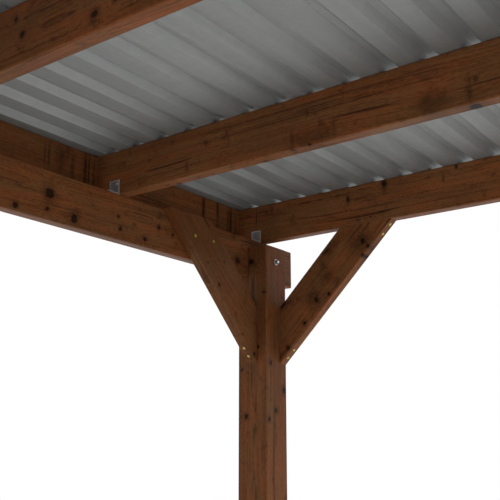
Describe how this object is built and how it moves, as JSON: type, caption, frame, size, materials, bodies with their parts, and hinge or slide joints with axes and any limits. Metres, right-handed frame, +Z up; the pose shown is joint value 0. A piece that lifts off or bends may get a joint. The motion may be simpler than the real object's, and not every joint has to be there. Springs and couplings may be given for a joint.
{
  "type": "carport",
  "caption": "Open timber carport: square posts with housed heads carry side beams, rafters and knee braces under a flat roof of ribbed metal sheets.",
  "frame": {"origin": "on the ground, at the middle of the plan", "axes": "+Z up; +Y along the beams and the roof ribs, to the back; +X across, to the right"},
  "size_m": [3.176, 4.72, 2.3996],
  "materials": {
    "posts": "brown stained, satin",
    "beams": "brown stained, satin",
    "rafters": "brown stained, satin",
    "braces": "brown stained, satin",
    "fascias": "brown stained, satin",
    "brackets": "galvanised",
    "roof_sheets": "galvanised"
  },
  "bodies": {
    "root": {"post_left_front": "posts", "post_left_middle": "posts", "post_left_back": "posts", "beam_left": "beams", "post_right_front": "posts", "post_right_middle": "posts", "post_right_back": "posts", "beam_right": "beams", "rafter_1": "rafters", "rafter_2": "rafters", "rafter_3": "rafters", "rafter_4": "rafters", "rafter_5": "rafters", "rafter_6": "rafters", "rafter_7": "rafters", "side_brace_left_front": "braces", "side_brace_left_middle_front": "braces", "side_brace_left_middle_back": "braces", "side_brace_left_back": "braces", "cross_brace_left_front": "braces", "cross_brace_left_middle": "braces", "cross_brace_left_back": "braces", "fascia_left": "fascias", "rafter_brackets_left": "brackets", "side_brace_right_front": "braces", "side_brace_right_middle_front": "braces", "side_brace_right_middle_back": "braces", "side_brace_right_back": "braces", "cross_brace_right_front": "braces", "cross_brace_right_middle": "braces", "cross_brace_right_back": "braces", "fascia_right": "fascias", "rafter_brackets_right": "brackets", "roof_sheet_left": "roof_sheets", "roof_sheet_middle": "roof_sheets", "roof_sheet_right": "roof_sheets"}
  },
  "joints": []
}
